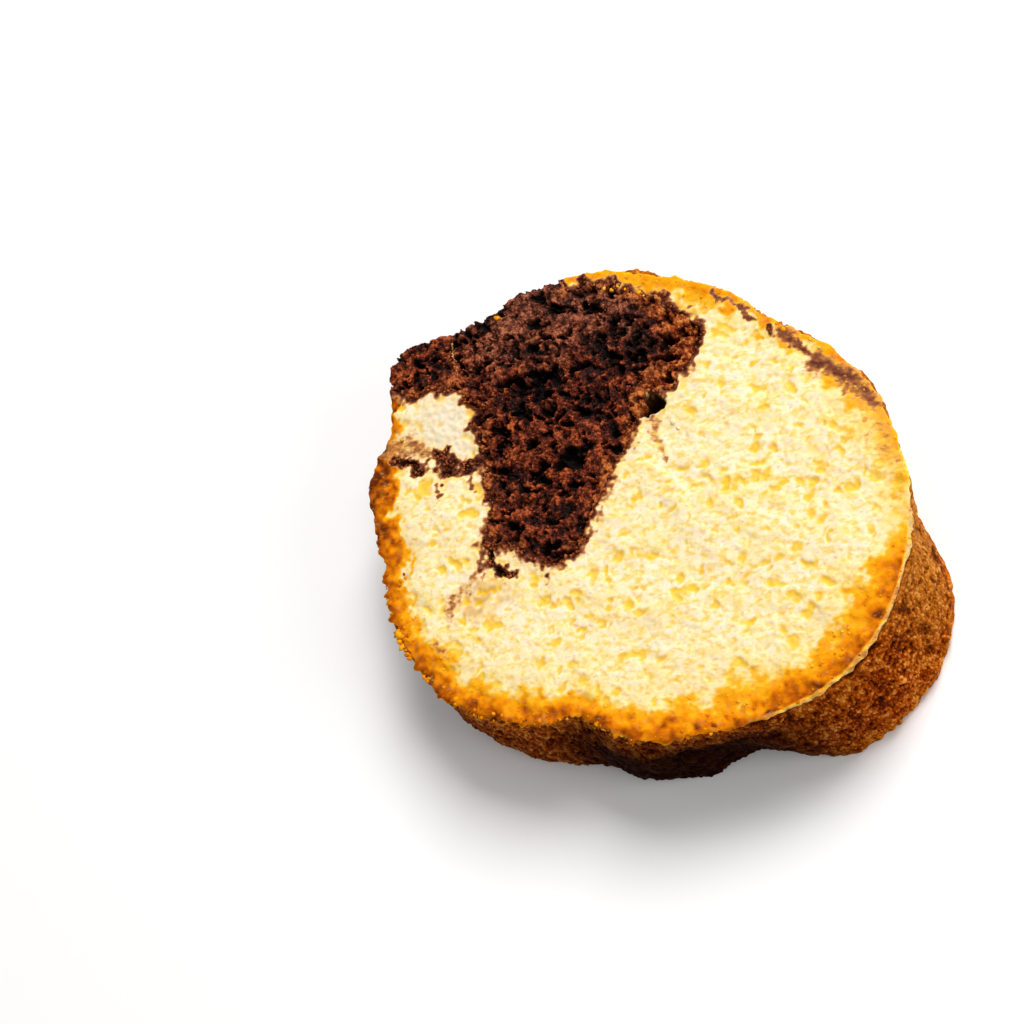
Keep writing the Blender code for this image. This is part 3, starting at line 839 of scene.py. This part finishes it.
rng = np.random.default_rng(91)
tries = rng.uniform((cocoa_box[0], cocoa_box[2]), (cocoa_box[1], cocoa_box[3]), (40000, 2))
inside = read_field(cocoa_depth, *tries.T) > -0.2
inside &= gap_to_side(*tries.T, RIM_HEIGHT) > 0.1
near_smear = rng.uniform((low[0], low[1]), (high[0], high[1]), (60000, 2))
stained = (read_field(smear, *near_smear.T) > 0.66) & (read_field(cocoa_depth, *near_smear.T) < 0.0)
stained &= gap_to_side(*near_smear.T, RIM_HEIGHT) > 0.3
places = np.vstack((tries[inside][:COCOA_CRUMBS], near_smear[stained][:500]))
radii = 0.16 + 0.30 * rng.random(len(places)) ** 2.2
on_cocoa = read_field(cocoa_depth, *places.T) > 0.2
heights = cut_height(*places.T) + np.where(
    on_cocoa, read_field(cocoa_relief - cocoa_fall, *places.T), read_field(sponge_relief, *places.T))
cocoa_crumbs, points = crumb_mesh(
    "cocoa_crumbs", cocoa_crumb, 92, places, radii, heights, 0.5)
by_point = np.repeat(np.arange(len(radii)), len(points) // len(radii))
# The crumbs take the painted shade of the cocoa under them, with a random tone.
shade = rng.uniform(-0.15, 0.25, len(radii)) + 0.7 * read_field(cavity_shade_and_low_darkening, *places.T) * on_cocoa
edge_share = np.where(on_cocoa, read_field(cocoa_edge, *places.T), 0.3)
place(cocoa_crumbs.data, points, depth=shade[by_point], edge=edge_share[by_point],
      dust=read_field(dusty, *places.T)[by_point])

# The same vanilla crumb in loose grains, which are too small for light to spread inside.
loose_crumb = vanilla_crumb.copy()
loose_crumb.name = "loose_vanilla_crumb"
loose_crumb.node_tree.nodes["Principled BSDF"].inputs["Subsurface Weight"].default_value = 0.0

tries = rng.uniform((low[0], low[1]), (high[0], high[1]), (40000, 2))
golden_zone = (gap_to_side(*tries.T, RIM_HEIGHT) > 0.2) & (read_field(bake, *tries.T) > 0.22) & (read_field(cocoa_depth, *tries.T) < -0.5)
turn = np.radians(rng.uniform(190.0, 292.0, EDGE_CRUMBS))
edge_gap = rng.uniform(-0.2, 1.2, EDGE_CRUMBS)
on_edge = (side_radius(turn, RIM_HEIGHT) - edge_gap)[:, None] * np.column_stack((np.cos(turn), np.sin(turn)))
clumps = [rng.normal((x, y), spread, (count, 2)) for x, y, spread, count in RIM_CLUMPS]
down = np.linspace(0.0, 1.0, THREAD_GRAINS)
thread = np.column_stack((
    -35.9 + 1.7 * down + rng.normal(0.0, 0.10, THREAD_GRAINS), 37.4 - 7.0 * down,
    rng.uniform(0.15, 0.28, THREAD_GRAINS), rng.uniform(0.0, 0.2, THREAD_GRAINS)))
bits = np.vstack((VANILLA_BITS, thread))
places = np.vstack([tries[golden_zone][:RIM_CRUMBS], on_edge, *clumps, bits[:, :2]])
held = side_radius(np.arctan2(places[:, 1], places[:, 0]), RIM_HEIGHT) + 0.25
places *= np.minimum(1.0, held / np.hypot(places[:, 0], places[:, 1]))[:, None]
small = RIM_CRUMBS
large = len(places) - small - len(bits)
radii = np.concatenate((
    0.14 + 0.24 * rng.random(small) ** 2.2, 0.22 + 0.42 * rng.random(large) ** 2.0, bits[:, 2]))
on_cocoa = read_field(cocoa_depth, *places.T) > 0.6
heights = cut_height(*places.T) + np.where(
    on_cocoa, np.maximum(read_field(cocoa_relief, *places.T), -0.4), read_field(sponge_relief, *places.T))
heights[small:small + large] -= rng.uniform(0.0, 0.8, large)
vanilla_crumbs, points = crumb_mesh(
    "vanilla_crumbs", loose_crumb, 93, places, radii, heights, 0.45)
by_point = np.repeat(np.arange(len(radii)), len(points) // len(radii))
baked = read_field(bake, *places.T)
baked[small:small + large] = np.where(rng.random(large) < 0.3, 0.78, 0.56)
baked += rng.uniform(-0.12, 0.12, len(radii)) * (baked > 0.1)
baked[-len(bits):] = bits[:, 3]
smeared = 0.6 * read_field(smear, *places.T)
smeared[-len(bits):] = 0.0
smeared[-THREAD_GRAINS:] = 0.36
place(vanilla_crumbs.data, points, bake=baked[by_point], smear=smeared[by_point],
      pale=read_field(pale, *places.T)[by_point], beige=read_field(beige, *places.T)[by_point])

# ---------------------------------------------------------------------------------------
# Floor, light and camera: a pale table top, one large soft lamp above the crown of the
# slice and a weaker one beside it, and the camera looking down on the cut.
bpy.ops.mesh.primitive_plane_add(size=4.0)
table_top = bpy.context.object
table_top.name = "table_top"
pale_table = bpy.data.materials.new("pale_table")
pale_table.use_nodes = True
pale_table.node_tree.nodes["Principled BSDF"].inputs["Base Color"].default_value = colour("#fcfbfa")
pale_table.node_tree.nodes["Principled BSDF"].inputs["Roughness"].default_value = 0.6
table_top.data.materials.append(pale_table)
table_top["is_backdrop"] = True

world = bpy.data.worlds.new("studio")
world.use_nodes = True
world.node_tree.nodes["Background"].inputs["Color"].default_value = (1.0, 1.0, 1.0, 1.0)
world.node_tree.nodes["Background"].inputs["Strength"].default_value = 0.38
bpy.context.scene.world = world

for name, place_at, size, power in (
    ("key", (0.45, 0.80, 1.15), 0.70, 20.0),
    ("fill", (1.10, -0.20, 0.60), 0.60, 4.0),
):
    lamp = bpy.data.lights.new(name, "AREA")
    lamp.size, lamp.energy = size, power
    lamp_object = bpy.data.objects.new(name, lamp)
    lamp_object.location = place_at
    lamp_object.rotation_euler = (-Vector(place_at)).to_track_quat("-Z", "Y").to_euler()
    bpy.context.scene.collection.objects.link(lamp_object)

VIEW_FROM = Vector((0.35, -0.30, 0.887)).normalized()
VIEW_DISTANCE = 0.441
ACROSS_FRAME = 20.4 * MM
UP_FRAME = 1.3 * MM
face_middle = Vector((0.0, 0.0, 0.024))
face_up = (Vector((0.0, 1.0, 0.0)) - VIEW_FROM.y * VIEW_FROM).normalized()
face_right = face_up.cross(VIEW_FROM)
camera_at = face_middle + VIEW_FROM * VIEW_DISTANCE
aim = face_middle - face_right * ACROSS_FRAME - face_up * UP_FRAME
backward = (camera_at - aim).normalized()
upward = (Vector((0.0, 1.0, 0.0)) - backward.y * backward).normalized()
camera = bpy.data.objects.new("camera", bpy.data.cameras.new("camera"))
camera.data.lens = 85.0
camera.data.sensor_width = 36.0
camera.data.clip_start = 0.01
camera.matrix_world = Matrix.Translation(camera_at) @ Matrix(
    (upward.cross(backward), upward, backward)
).transposed().to_4x4()
bpy.context.scene.collection.objects.link(camera)
bpy.context.scene.camera = camera
bpy.context.scene.view_settings.view_transform = "Standard"

size = {"cad": [list(corner) for corner in cad_box], "visual": [list(corner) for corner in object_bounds()]}
